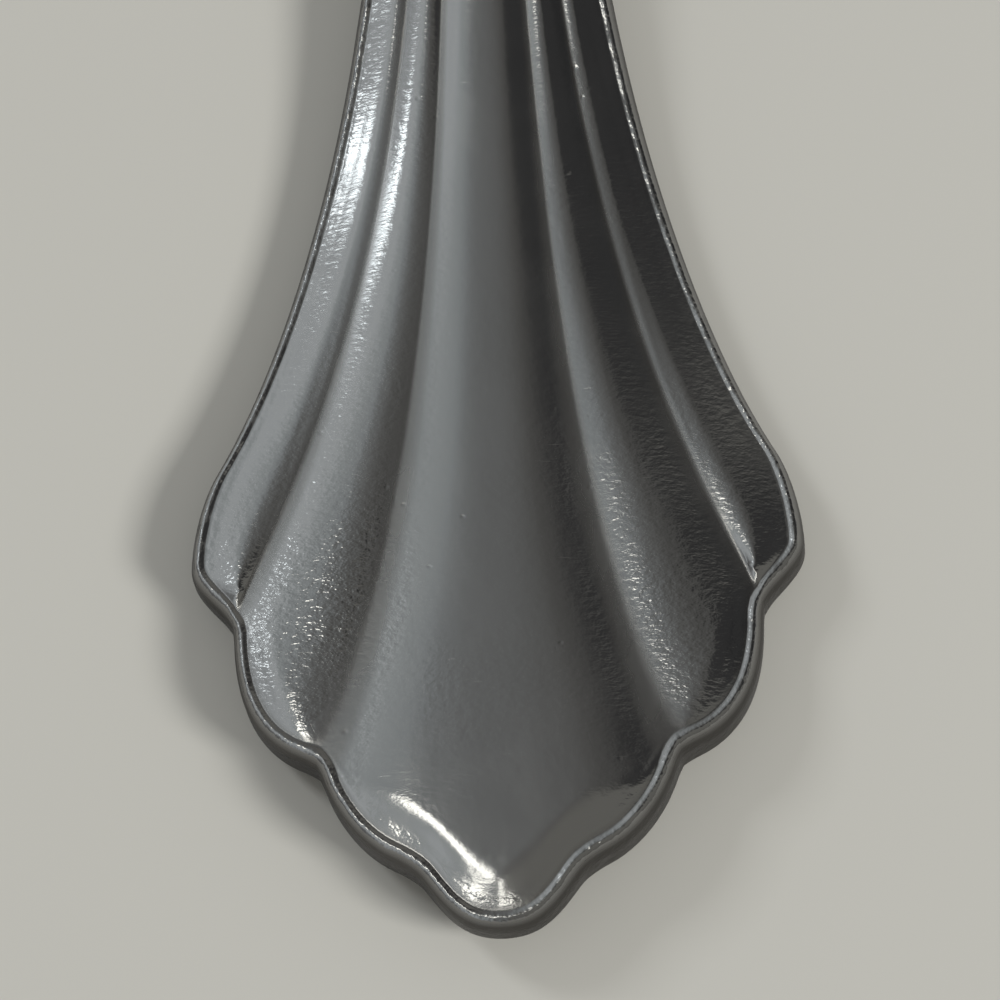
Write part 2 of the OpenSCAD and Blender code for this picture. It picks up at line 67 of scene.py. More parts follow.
def handle_bottom(s):
    """Underside of the handle: a lift that dies out as a square up to the resting
    place, and from there a smooth step up to the neck."""
    tip = TIP_LIFT * (1 - np.minimum(s, REST_REACH) / REST_REACH) ** 2
    return tip + NECK_RISE * ease((s - REST_REACH) / (NECK_REACH - REST_REACH))


def swell(s):
    """0 in the fan's end and 1 where the fan joins the shank: a smooth step."""
    return ease((s / FAN_REACH - SWELL_START) / (1 - SWELL_START))


def thickness(s):
    """The fan's thickness, less a squared taper towards the tip, turning into the
    shank's and then the neck's with smooth steps."""
    shank = mix(SHANK_THICKNESS, NECK_THICKNESS, ease((s - FAN_REACH) / (SHANK_REACH - FAN_REACH)))
    taper = (FAN_THICKNESS - TIP_THICKNESS) * np.clip(1 - s / (TIP_TAPER * FAN_REACH), 0, 1) ** 2
    return np.where(s < FAN_REACH, mix(FAN_THICKNESS, SHANK_THICKNESS, swell(s)) - taper, shank)


# Fan outline: the die trims the handle's end into seven lobes with a notch
# between each two, and rounds it with a fine border that carries a raised bead.
# The cubic curves are its right half, as shares of its half width and reach.
FAN_HALF = 12.3
SHANK_SHARE = 0.443
SCALE = np.array([FAN_HALF, FAN_REACH])
FLANK = np.array([[SHANK_SHARE, 1], [0.541, 0.816], [0.719, 0.615], [0.926, 0.5]]) * SCALE
CHEEK = np.array([[0.926, 0.5], [0.961, 0.481], [1, 0.435], [1, 0.4]]) * SCALE
LOBE_1 = np.array([[1, 0.4], [1, 0.38], [0.945, 0.365], [0.857, 0.335]]) * SCALE
LOBE_2 = np.array([[0.857, 0.335], [0.86, 0.28], [0.833, 0.2], [0.58, 0.178]]) * SCALE
LOBE_3 = np.array([[0.58, 0.178], [0.545, 0.13], [0.435, 0.08], [0.282, 0.067]]) * SCALE
TIP_LOBE = np.array([[0.282, 0.067], [0.192, 0.029], [0.143, 0], [0, 0]]) * SCALE
NOTCHES = np.array([LOBE_1[3], LOBE_2[3], LOBE_3[3]])
NOTCH_FILL = 0.14
NOTCH_REACH = 0.8

# The border: how far in each row lies as a share of the border's width, the
# drop of the top and the rise of the underside there as shares of it, and the bead.
# The innermost row is the border's foot.
EDGE_ROUND = 0.6
BEAD_HEIGHT = 0.08
BORDER_PLACE = np.array([0, 0.02, 0.08, 0.18, 0.32, 0.48, 0.66, 0.84, 1])
BORDER_DROP = np.array([1.25, 1.0, 0.66, 0.39, 0.17, 0.05, 0, 0, 0])
BORDER_RISE = np.array([0.9, 0.72, 0.5, 0.31, 0.16, 0.07, 0.02, 0, 0])
BORDER_BEAD = np.array([0, 0.05, 0.2, 0.4, 0.75, 1, 0.95, 0.6, 0.25])
BORDER_ROWS = len(BORDER_PLACE)
FOOT = BORDER_ROWS - 1


def cubic(points, t):
    """Points of a cubic Bezier curve: its four control points, each times its
    Bernstein polynomial of t."""
    p = np.asarray(points)
    t = np.asarray(t, float)[..., None]
    return p[0] * (1 - t) ** 3 + 3 * p[1] * t * (1 - t) ** 2 + 3 * p[2] * t ** 2 * (1 - t) + p[3] * t ** 3


def unit(v):
    """v at length 1."""
    return v / np.linalg.norm(v, axis=-1, keepdims=True)


def into_metal(points, t):
    """The way into the metal at right angles to a cubic curve: its derivative at
    length 1, turned by a quarter."""
    p = np.asarray(points)
    t = np.asarray(t, float)[..., None]
    d = unit((p[1] - p[0]) * (1 - t) ** 2 + 2 * (p[2] - p[1]) * t * (1 - t) + (p[3] - p[2]) * t ** 2)
    return np.stack([d[..., 1], -d[..., 0]], axis=-1)


# The four valleys start at the notches, so the way into the metal there is theirs
VALLEY_1 = np.array([[0.815, 0.37], [0.545, 0.53], [0.364, 0.74], [0.266, 1]]) * SCALE
VALLEY_2 = np.array([[0.507, 0.226], [0.27, 0.425], [0.184, 0.75], [0.144, 1]]) * SCALE
INTO_1 = unit(VALLEY_1[0] - NOTCHES[0])
INTO_2 = unit(VALLEY_2[0] - NOTCHES[1])
INTO_3 = unit(into_metal(LOBE_3, 1.0) + into_metal(TIP_LOBE, 0.0))
INTOS = np.array([INTO_1, INTO_2, INTO_3])


def nearness(p):
    """1 at a notch, falling in a straight line to 0 at its reach, for each notch."""
    away = np.linalg.norm(p[..., None, :] - NOTCHES, axis=-1)
    return np.clip(1 - away / NOTCH_REACH, 0, 1)[..., None]


def outline(p):
    """Points of the outline, moved out near a notch by its squared nearness."""
    return p - NOTCH_FILL * (nearness(p) ** 2 * INTOS).sum(-2)


def inward(curve, t):
    """The way inwards from a curve, mixed with a notch's own way by its nearness."""
    near = nearness(cubic(curve, t))
    return unit(into_metal(curve, t) * (1 - near.max(-2)) + (near * INTOS).sum(-2))


# Valleys: four grooves that the die presses from the notches up the handle,
# between the five flutes. They grow shallow towards the shank and fade out on
# it. The middle line of the fan is laid out in the same rows.
AXIS = np.array([[0, 0.055], [0, 0.33], [0, 0.68], [0, 1]]) * SCALE
TIP = TIP_LOBE[3]
UP_THE_HANDLE = np.array([0.0, 1.0])
FLUTE_REACH = 88.2
FLUTE_DEPTH = 0.34
SHANK_FLUTE = 0.52
FADE_START = 0.3
FADE_RUN = 0.5
SHANK_FADE_START = 0.2
ACROSS_ROWS = 22
LOBE_ROWS = 18
CHEEK_ROWS = 12
FLANK_ROWS = 44
ROWS = LOBE_ROWS + CHEEK_ROWS + FLANK_ROWS
ACROSS = np.arange(1, ACROSS_ROWS + 1) / ACROSS_ROWS
LOBE_SHARE = 0.28
LOBE_GATHER = 1.4


def row_share():
    """Share of a valley's curve at each row: a power of the row beside the lobe and
    the cheek, then even steps."""
    near = LOBE_ROWS + CHEEK_ROWS
    i = np.arange(1, ROWS + 1)
    return np.where(i <= near, LOBE_SHARE * (i / near) ** LOBE_GATHER,
                    mix(LOBE_SHARE, 1, (i - near) / FLANK_ROWS))


def valley_line(notch, into, curve):
    """Points from a notch across the border, straight on, then along the valley."""
    foot = notch + into * EDGE_ROUND
    border = notch + into * BORDER_PLACE[:, None] * EDGE_ROUND
    straight = mix(foot, curve[0], ACROSS[:, None])
    return np.concatenate([border, straight, cubic(curve, row_share())])


def flute_scale(s):
    """Depth of the flutes along the handle, as a share of their full depth: a
    smooth step down on the fan, and another to 0 on the shank."""
    fan = mix(1, SHANK_FLUTE, ease((s / FAN_REACH - FADE_START) / FADE_RUN))
    share = (s - FAN_REACH) / (FLUTE_REACH - FAN_REACH)
    shank = SHANK_FLUTE * (1 - ease((share - SHANK_FADE_START) / (1 - SHANK_FADE_START)))
    return np.where(s < FAN_REACH, fan, shank)


line_0 = valley_line(TIP, UP_THE_HANDLE, AXIS)
line_1 = valley_line(outline(NOTCHES[0]), INTO_1, VALLEY_1)
line_2 = valley_line(outline(NOTCHES[1]), INTO_2, VALLEY_2)

# Inner petals: the two ridged flutes on either side of the centre panel, coined
# in the same steel. Each rises from its valleys to a crest, and ends in a bevel
# that follows its lobe.
FAN_CROWN = 0.9
SHANK_CROWN = 0.95
FAN_BELLY = FAN_CROWN * 0.1
SHANK_START = SHANK_SHARE * FAN_HALF
SIDE_GAIN = 1.6
INNER_CREST = 0.42
INNER_HEIGHT = 0.88
INNER_STEPS = 30
CREST_STEPS = 16
CREST_SOFTNESS = 0.02
VALLEY_FOOT = 0.1
LOBE_POWER = 2.1
SHANK_POWER = 1.5
FULL_UNTIL = 8
FULL_RUN = 14
BEVEL_WIDTH = 1.4
BEVEL_POWER = 1.35
LOBE_BLEND = 0.4
LOBE_DIES_OUT = 0.4
BEAD_RUN_OUT = 0.45
BEAD_FULL_HEIGHT = 0.25
NO_HEIGHT = 1e-6
GATHERING = 0.5

# Columns of a grid: a point of the top, a point of the underside, and the marks
# for how far up a flute, how near the bead and how near the side a place is
TOP_POINT = [0, 1, 2]
LOW_POINT = [3, 1, 4]
RISE, BEAD, SIDE = 5, 6, 7


def fan_surface(p, rise, drop, under, bead):
    """x, s and height of the fan's top, x and height of its underside, and three
    marks, at the points p. The top is the underside plus the metal's thickness,
    less the flute's depth where rise is below 1, less a crown that goes with x
    squared, less the border's drop and plus its bead."""
    s = p[..., 1]
    round_off = (p[..., 0] / FAN_HALF) ** 2
    fan_curve = FAN_CROWN / FAN_HALF ** 2
    shank_curve = SHANK_CROWN / SHANK_START ** 2
    curve = mix(fan_curve, shank_curve, swell(s)) * p[..., 0] ** 2
    top = (handle_bottom(s) + thickness(s) - FLUTE_DEPTH * flute_scale(s) * (1 - rise) - curve
           - drop * EDGE_ROUND + bead * BEAD_HEIGHT)
    low = handle_bottom(s) + FAN_BELLY * round_off + under * EDGE_ROUND
    side = np.clip(SIDE_GAIN * drop, 0, 1)
    return np.stack([p[..., 0], s, top, p[..., 0], low, rise + 0 * s, bead + 0 * s, side + 0 * s], axis=-1)


def soft_min(a, b, width):
    """The smaller of a and b, with a parabola over the corner where they differ by
    less than the width."""
    h = np.clip(0.5 + 0.5 * (b - a) / width, 0, 1)
    return mix(b, a, h) - width * h * (1 - h)


def fullness(s):
    """Power of a ridge's profile: a smooth step from a full one near the lobes to a
    roof-like one up the handle."""
    return mix(LOBE_POWER, SHANK_POWER, ease((s - FULL_UNTIL) / FULL_RUN))


def rounded_foot(rise):
    """rise squared over rise plus a foot, scaled to keep 1 at 1: it leaves 0 gently."""
    up = np.clip(rise, 0, 1)
    return (1 + VALLEY_FOOT) * up * up / (up + VALLEY_FOOT)


def inner_profile(share, s):
    """The petal at a share of its width: 1 less a power of the distance from the
    crest, as a share of the way to the valley on that side."""
    away = np.where(share < INNER_CREST, (INNER_CREST - share) / INNER_CREST,
                    (share - INNER_CREST) / (1 - INNER_CREST))
    return INNER_HEIGHT * rounded_foot(1 - np.sqrt(away * away + CREST_SOFTNESS ** 2) ** fullness(s))


def bevel(share):
    """Rise of the end bevel: 1 less a power of the share of its width still to go."""
    return 1 - (1 - np.clip(share, 0, 1)) ** BEVEL_POWER


def lobe_share(inside, foot, into):
    """How far a place lies up the bevel of a petal's end: its distance in from the
    border's foot over the bevel's width."""
    return ((inside - foot[None]) * into[None]).sum(-1) / BEVEL_WIDTH


def strip(shares, edge, into, left, right, profile, bevel_share, blend):
    """A flute between two valley lines, with its end pushed out to the outline by
    an amount that dies out as a square. Its rise is the smaller of the profile
    across and the bevel at its end."""
    border = edge[None] + into[None] * BORDER_PLACE[:, None, None] * EDGE_ROUND
    inner_left = left[BORDER_ROWS:, None]
    inner_right = right[BORDER_ROWS:, None]
    foot = edge + into * EDGE_ROUND
    push = foot - mix(left[FOOT], right[FOOT], shares[:, None])
    away = (inner_right[..., 1] - right[FOOT, 1]) / (LOBE_DIES_OUT * FAN_REACH)
    near = (1 - np.clip(away, 0, 1)) ** 2
    inside = mix(inner_left, inner_right, shares[None, :, None]) + push[None] * near[..., None]
    share = bevel_share(inside, foot, into)
    full = profile(shares[None], inside[..., 1])
    rise = np.clip(soft_min(full, bevel(share), blend), 0, 1) * (full > NO_HEIGHT)
    run_out = BORDER_BEAD[-1] * (1 - ease(share / BEAD_RUN_OUT)) * ease(full / BEAD_FULL_HEIGHT)
    flat = np.zeros(border.shape[:2])
    bands = [np.broadcast_to(t[:, None], flat.shape) for t in (BORDER_DROP, BORDER_RISE, BORDER_BEAD)]
    rim = fan_surface(border, flat, *bands)
    return np.concatenate([rim, fan_surface(inside, rise, 0, 0, run_out)])


def spread(count):
    """Shares from 0 to 1, half even and half a cosine, so they gather at the ends."""
    t = np.arange(count + 1) / count
    return mix(t, (1 - np.cos(np.pi * t)) / 2, GATHERING)


inner_shares = np.concatenate([INNER_CREST * spread(CREST_STEPS),
                               mix(INNER_CREST, 1, spread(INNER_STEPS - CREST_STEPS)[1:])])
inner_edge = outline(cubic(LOBE_2, 1 - inner_shares))
inner_into = inward(LOBE_2, 1 - inner_shares)
inner_grid = strip(inner_shares, inner_edge, inner_into, line_2, line_1,
                   inner_profile, lobe_share, LOBE_BLEND)

# Centre panel: the broad, almost flat flute in the middle, the smoothest part of
# the pressing. Its end is a wide bevel whose crest runs straight from each
# outer notch to the middle of the tip.
TIP_STEPS = 20
SHOULDER_STEPS = 20
TIP_SHARE = 0.45
TIP_BLEND = 0.2
END_DOME = 2.5
SHANK_DOME = 1.7
DOME_UNTIL = 4
DOME_RUN = 16
CREST_ANGLE = math.radians(43.6)
CREST_WAY = np.array([-math.sin(CREST_ANGLE), math.cos(CREST_ANGLE)])
CREST_ROUND = EDGE_ROUND / 3
CREST_START = EDGE_ROUND + BEVEL_WIDTH


def centre_profile(share, s):
    """A low dome: 1 less the smooth step of a power of the share of the way from
    the middle to the valley."""
    return 1 - ease(share ** mix(END_DOME, SHANK_DOME, ease((s - DOME_UNTIL) / DOME_RUN)))


def above_crest(p):
    """Distance from the tip's crest line, positive on the panel, with the crest's
    corner in the middle rounded as a hyperbola."""
    x = np.sqrt(p[..., 0] ** 2 + CREST_ROUND ** 2)
    return x * CREST_WAY[0] + (p[..., 1] - CREST_START) * CREST_WAY[1]


def tip_share(inside, foot, into):
    """How far a place lies up the tip's bevel: 1 less its distance from the crest
    line over that of the border's foot."""
    return 1 - above_crest(inside) / np.minimum(-CREST_ROUND, above_crest(foot))[None]


tip_shares = TIP_SHARE * np.arange(TIP_STEPS + 1) / TIP_STEPS
shoulder_shares = mix(TIP_SHARE, 1, spread(SHOULDER_STEPS)[1:])
half_shares = np.concatenate([tip_shares, shoulder_shares])
tip_t = 1 - tip_shares / TIP_SHARE
shoulder_t = 1 - (shoulder_shares - TIP_SHARE) / (1 - TIP_SHARE)
half_edge = outline(np.concatenate([cubic(TIP_LOBE, tip_t), cubic(LOBE_3, shoulder_t)]))
half_into = np.concatenate([inward(TIP_LOBE, tip_t), inward(LOBE_3, shoulder_t)])

# The middle section runs straight up the handle
half_into[0] = UP_THE_HANDLE
centre_grid = strip(half_shares, half_edge, half_into, line_0, line_2,
                    centre_profile, tip_share, TIP_BLEND)

# Outer petals: the two outermost flutes, pressed with the rest. Each is a ridge
# that turns round its lobe and runs up the flank, lower on the border's side.
# Its sections go from the valley to the border, and fan out round the lobe.
OUTER_CREST = 0.67
OUTER_HEIGHT = 0.7
SIDE_LEVEL = 0.25
SIDE_BLEND = 0.1
BEAD_ROWS = 4
section = np.arange(ROWS + 1)
lobe_part = section <= LOBE_ROWS
cheek_part = (section > LOBE_ROWS) & (section <= LOBE_ROWS + CHEEK_ROWS)
flank_part = section > LOBE_ROWS + CHEEK_ROWS
outer_edge = np.concatenate([
    outline(cubic(LOBE_1, 1 - section[lobe_part] / LOBE_ROWS)),
    cubic(CHEEK, 1 - (section[cheek_part] - LOBE_ROWS) / CHEEK_ROWS),
    cubic(FLANK, 1 - (section[flank_part] - LOBE_ROWS - CHEEK_ROWS) / FLANK_ROWS)])

# Round the lobe, the way in turns evenly from the notch's own to straight across
turn = mix(math.atan2(INTO_1[1], INTO_1[0]), math.pi, np.clip(section / LOBE_ROWS, 0, 1))
outer_into = np.stack([np.cos(turn), np.sin(turn)], axis=-1)
outer_into[0] = INTO_1
outer_foot = outer_edge + outer_into * EDGE_ROUND
outer_valley = line_1[FOOT + ACROSS_ROWS:]
border_level = SIDE_LEVEL * ease(section / LOBE_ROWS)[:, None]


def outer_rise(points, share):
    """The smaller of two ridge sides: one from the distance to the valley, and one
    from the share of the way in from the border, which starts at its level."""
    gap = np.linalg.norm(points[..., None, :] - outer_valley[None, None], axis=-1).min(-1)
    width = np.linalg.norm(outer_foot - outer_valley, axis=-1)[:, None]
    near = gap / ((1 - OUTER_CREST) * width)
    power = fullness(points[..., 1])
    inner = rounded_foot(1 - (1 - np.clip(near, 0, 1)) ** power)
    outer = 1 - (1 - np.clip(share / OUTER_CREST, 0, 1)) ** power
    return OUTER_HEIGHT * np.clip(soft_min(inner, mix(border_level, 1, outer), SIDE_BLEND), 0, 1)


across = ACROSS[::-1]
outer_inside = mix(outer_foot[:, None], outer_valley[:, None], across[None, :, None])
outer_heights = outer_rise(outer_inside, np.broadcast_to(across, outer_inside.shape[:2]))

# The valley, and the section that starts at the notch, stay at the bottom
outer_heights[:, 0] = 0
outer_heights[0] = 0
outer_border = outer_edge[:, None] + outer_into[:, None] * BORDER_PLACE[::-1, None] * EDGE_ROUND
side_height = OUTER_HEIGHT * border_level + np.zeros((1, BORDER_ROWS))
side_height[0] = 0
outer_bands = [np.broadcast_to(t[::-1], side_height.shape)
               for t in (BORDER_DROP, BORDER_RISE, BORDER_BEAD)]
outer_away = np.linalg.norm(outer_inside - outer_foot[:, None], axis=-1)
outer_run_out = (BORDER_BEAD[-1] * (1 - ease(outer_away / (BEAD_RUN_OUT * BEVEL_WIDTH)))
                 * ease(section / BEAD_ROWS)[:, None])
outer_grid = np.concatenate([fan_surface(outer_inside, outer_heights, 0, 0, outer_run_out),
                             fan_surface(outer_border, side_height, *outer_bands)], axis=1)

# Shank and neck: the slim, slightly crowned bar of the same steel between fan
# and bowl. It narrows in a parabola to the neck, and the shoulders open from
# there in another parabola onto a tangent of the bowl.
SPOON_LENGTH = 180.0
WAIST_REACH = 71.7
NECK_HALF = 2.85
NECK_CROWN = 0.8
NECK_BELLY = NECK_CROWN * 0.7
SHOULDER_RUN = 6.0
SHOULDER_ANGLE = math.radians(37)
BOWL_LENGTH = 61.0
BOWL_WIDTH = 41.0
BOWL_A = BOWL_LENGTH / 2
BOWL_B = BOWL_WIDTH / 2
BOWL_MID = SPOON_LENGTH - BOWL_A
EGG = 0.07
END_HALF = 0.6


def egg_half(s, a, b):
    """Half width of an egg: an ellipse, times a factor that grows evenly towards
    the neck and falls evenly towards the front."""
    along = np.clip(np.abs(s - BOWL_MID) / a, 0, 1)
    return b * np.sqrt(1 - along * along) * (1 + np.where(s < BOWL_MID, 1, -1) * EGG * along)


TANGENT_S = BOWL_MID - BOWL_A * math.cos(SHOULDER_ANGLE)
TANGENT_HALF = float(egg_half(TANGENT_S, BOWL_A, BOWL_B))
TANGENT_SLOPE = (BOWL_B * (math.cos(SHOULDER_ANGLE) * (1 + EGG * math.cos(SHOULDER_ANGLE))
                           - EGG * math.sin(SHOULDER_ANGLE) ** 2) / (BOWL_A * math.sin(SHOULDER_ANGLE)))
CORNER_S = TANGENT_S - (TANGENT_HALF - NECK_HALF) / TANGENT_SLOPE
SHOULDER_S = CORNER_S - SHOULDER_RUN


def half_width(s):
    """Half width beyond the fan: a parabola to the waist, the neck, the shoulders
    as a parabola whose share u solves a quadratic in s, then the egg."""
    t = np.clip((s - FAN_REACH) / (WAIST_REACH - FAN_REACH), 0, 1)
    shank = mix(SHANK_START, NECK_HALF, 1 - (1 - t) ** 2)
    a = SHOULDER_S - 2 * CORNER_S + TANGENT_S
    b = 2 * (CORNER_S - SHOULDER_S)
    c = np.clip(s - SHOULDER_S, 0, None)
    u = 2 * c / (b + np.sqrt(b * b + 4 * a * c))
    shoulder = mix(NECK_HALF, TANGENT_HALF, u * u)
    egg = np.maximum(END_HALF, egg_half(s, BOWL_A, BOWL_B))
    return np.where(s <= SHOULDER_S, shank, np.where(s <= TANGENT_S, shoulder, egg))


# Bowl: an egg-shaped dish drawn from the end of the blank, full in its section,
# with a ground rim that climbs a little towards the neck. Its lowest spot is
# worn slightly flat by use, and a smooth heel joins it to the neck.
BOWL_DEPTH = 8.8
BOWL_FLOOR = 1.7
RIM_WIDTH = 1.2
RIM_THICKNESS = 1.2
RIM_TILT = 0.7
WORN_DEPTH = 0.1
DISH_POWER = 2.5
DISH_END = 0.999
SLOPE_STEP = 0.5
HOLLOW_START = SPOON_LENGTH - BOWL_LENGTH + RIM_WIDTH


def rim_z(s):
    """Height of the rim's top, a straight line that climbs towards the neck."""
    return BOWL_DEPTH + BOWL_FLOOR + RIM_TILT * (BOWL_MID - s) / BOWL_LENGTH


def dish(along, aside):
    """Depth of a dish, 1 in the middle and 0 on the outline: 1 less a power of
    what is left of 1 after the product of two parabolas, along and across."""
    return 1 - np.maximum(0, 1 - (1 - along * along) * (1 - aside * aside)) ** (DISH_POWER / 2)


def dish_place(s):
    """How far s is from the bowl's middle, as a share of its half length."""
    return np.minimum(DISH_END, np.abs(s - BOWL_MID) / BOWL_A)


def dish_bottom(s):
    """Height of the bowl's underside on the centre line: the rim's own underside
    less the depth times the dish."""
    depth = BOWL_DEPTH + BOWL_FLOOR - RIM_THICKNESS + WORN_DEPTH
    return rim_z(s) - RIM_THICKNESS - depth * dish(dish_place(s), 0)


def fall(s):
    """0 at the neck and 1 where the hollow starts: a smooth step."""
    return ease((s - NECK_REACH) / (HOLLOW_START - NECK_REACH))


def top_mid(s):
    """Top of the spoon's metal on the centre line, without the hollow: the handle's
    underside plus its thickness, a smooth step down to the rim, then the rim."""
    neck = mix(NECK_RISE + NECK_THICKNESS, rim_z(HOLLOW_START), fall(s))
    return np.where(s < NECK_REACH, handle_bottom(s) + thickness(s),
                    np.where(s < HOLLOW_START, neck, rim_z(s)))


def crown(s):
    """How far the top's edges lie below its middle: a smooth step from the shank's
    crown to the neck's, then one to 0 where the hollow starts."""
    handle = mix(SHANK_CROWN, NECK_CROWN, ease((s - FAN_REACH) / (NECK_REACH - FAN_REACH)))
    return np.where(s < NECK_REACH, handle, mix(NECK_CROWN, 0, fall(s)))


def bottom_mid(s):
    """Underside on the centre line: the handle, then a heel that is a cubic
    between two heights and the dish's slope, then the dish."""
    slope = (dish_bottom(TANGENT_S + SLOPE_STEP) - dish_bottom(TANGENT_S)) / SLOPE_STEP
    run = TANGENT_S - NECK_REACH
    t = (s - NECK_REACH) / run
    heel = (NECK_RISE * (2 * t ** 3 - 3 * t * t + 1) + dish_bottom(TANGENT_S) * (3 * t * t - 2 * t ** 3)
            + run * slope * (t ** 3 - t * t))
    return np.where(s < NECK_REACH, handle_bottom(s), np.where(s < TANGENT_S, heel, dish_bottom(s)))


def edge_bottom(s):
    """Underside at the side edges: the handle's, raised by a belly that grows with
    a smooth step, then a smooth step to the rim's own underside."""
    start = FAN_BELLY * (SHANK_START / FAN_HALF) ** 2
    belly = mix(start, NECK_BELLY, ease((s - FAN_REACH) / (NECK_REACH - FAN_REACH)))
    heel = mix(NECK_RISE + NECK_BELLY, rim_z(TANGENT_S) - RIM_THICKNESS,
               ease((s - NECK_REACH) / (TANGENT_S - NECK_REACH)))
    return np.where(s < NECK_REACH, handle_bottom(s) + belly,
                    np.where(s < TANGENT_S, heel, rim_z(s) - RIM_THICKNESS))


def bottom_z(s, x):
    """Underside at any place: a parabola across the handle that turns into the
    dish's section on the bowl, and is worn flat at 0."""
    aside = np.clip(np.abs(x) / half_width(s), 0, 1)
    along = dish_place(s)
    full = dish(along, aside) / dish(along, 0)
    on_bowl = np.where(s < BOWL_MID, ease((s - SHOULDER_S) / (TANGENT_S - SHOULDER_S)), 1)
    low = bottom_mid(s)
    high = edge_bottom(s)
    return np.maximum(0, high - (high - low) * mix(1 - aside * aside, full, on_bowl))


# Shank, neck and bowl are one loft that carries on the fan's last section. Its
# columns are the fan's, and on the bowl most of them cross the hollow.
NECK_SHARE = 0.65
LOFT_STEPS = 43
SHOULDER_ROWS = 9
HOLLOW_ROWS = 47
FRONT_SHARES = np.array([0.2, 0.4, 0.58, 0.74, 0.86, 0.94, 0.985, 1])
HOLLOW_COLUMNS = 0.82
NARROW_FOOT = 0.3
HOLLOW_LEAST = 0.3
RIM_LIP = 0.45
fan_end = np.concatenate([centre_grid[-1], inner_grid[-1, 1:], outer_grid[-1, 1:]])
COLUMNS = len(fan_end)
INSIDE = COLUMNS - BORDER_ROWS
end_rise = np.concatenate([centre_profile(half_shares, FAN_REACH),
                           inner_profile(inner_shares[1:], FAN_REACH),
                           outer_heights[-1, 1:], side_height[-1]])
valley_columns = [len(half_shares) - 1, len(half_shares) + INNER_STEPS - 1]
end_rise[valley_columns] = 0
end_drop = np.concatenate([np.zeros(INSIDE), BORDER_DROP[::-1]])
end_under = np.concatenate([np.zeros(INSIDE), BORDER_RISE[::-1]])
end_bead = fan_end[:, BEAD]
inside_shares = fan_end[:INSIDE, 0] / (SHANK_START - EDGE_ROUND)
bowl_start = mix(NECK_REACH, HOLLOW_START, NECK_SHARE)
hollow_a = BOWL_A - RIM_WIDTH
hollow_b = BOWL_B - RIM_WIDTH
angles = np.radians(np.linspace(0, 180, HOLLOW_ROWS))
stations = np.concatenate([
    np.linspace(FAN_REACH, bowl_start, LOFT_STEPS)[1:],
    np.linspace(bowl_start, HOLLOW_START, SHOULDER_ROWS)[1:-1],
    BOWL_MID - hollow_a * np.cos(angles),
    mix(BOWL_MID + hollow_a, SPOON_LENGTH, FRONT_SHARES)])


def loft(s):
    """The right half of every section as one grid, as fan_surface gives it. The
    columns turn from the fan's places, over even ones, to those of the hollow. The
    top is its middle's height less a crown that goes with x squared, the flutes'
    depth, the border's drop and the hollow, plus the bead."""
    s = s[:, None]
    h = half_width(s)
    foot = np.maximum(h - EDGE_ROUND, NARROW_FOOT * h)
    opening = ease((s - bowl_start) / (HOLLOW_START - bowl_start))
    inner = np.minimum(foot, np.maximum(HOLLOW_LEAST, egg_half(s, hollow_a, hollow_b)))
    column = np.arange(INSIDE)
    last_in_hollow = int(INSIDE * HOLLOW_COLUMNS)
    in_hollow = np.clip(column / last_in_hollow, 0, 1)
    on_rim = np.clip((column - last_in_hollow) / (INSIDE - last_in_hollow), 0, 1)
    target = np.where(column <= last_in_hollow, inner * in_hollow, mix(inner, foot, on_rim))
    even = mix(inside_shares * foot, foot * column / INSIDE, opening)
    border = h - BORDER_PLACE[::-1] * (h - foot)
    x = np.concatenate([mix(even, target, opening), border], axis=1)
    low_x = np.concatenate([even, border], axis=1)
    along = np.minimum(1, np.abs(s - BOWL_MID) / hollow_a)
    hollow = np.concatenate([BOWL_DEPTH * dish(along, in_hollow), 0 * border], axis=1)
    lip = mix(1, RIM_LIP, fall(s))
    depth = FLUTE_DEPTH * flute_scale(s)
    bead = BEAD_HEIGHT * flute_scale(s) / SHANK_FLUTE
    top = (top_mid(s) - crown(s) * (x / h) ** 2 - depth * (1 - end_rise) * (s < FLUTE_REACH)
           - end_drop * EDGE_ROUND * lip + end_bead * bead - hollow)
    low = bottom_z(s, low_x) + end_under * EDGE_ROUND * lip
    fade = 1 - flute_scale(s) / SHANK_FLUTE
    side = np.clip(SIDE_GAIN * end_drop, 0, 1)
    return np.stack(np.broadcast_arrays(x, s, top, low_x, low, mix(end_rise, 1, fade),
                                        end_bead * (1 - fade), side), axis=-1)


loft_grid = loft(stations)

# Skin: the real spoon is one piece with no seams, so its regions are welded into
# one closed mesh, in metres. It stands for all nine solids and carries, at each
# vertex, the marks that the steel reads.
MM = 0.001
WELD = 1e-5
MIRROR = np.array([-1, 1, 1, -1, 1, 1, 1, 1])
PANEL_START = 0.2
PANEL_RUN = 0.3
points = []
faces = []
marks = []


def whole(grid):
    """The right half of a grid with its mirror image on the left."""
    return np.concatenate([grid[:, :0:-1] * MIRROR, grid], axis=1)


def mirrored(grid):
    """The mirror image of a grid, with its columns in the opposite order."""
    return grid[:, ::-1] * MIRROR


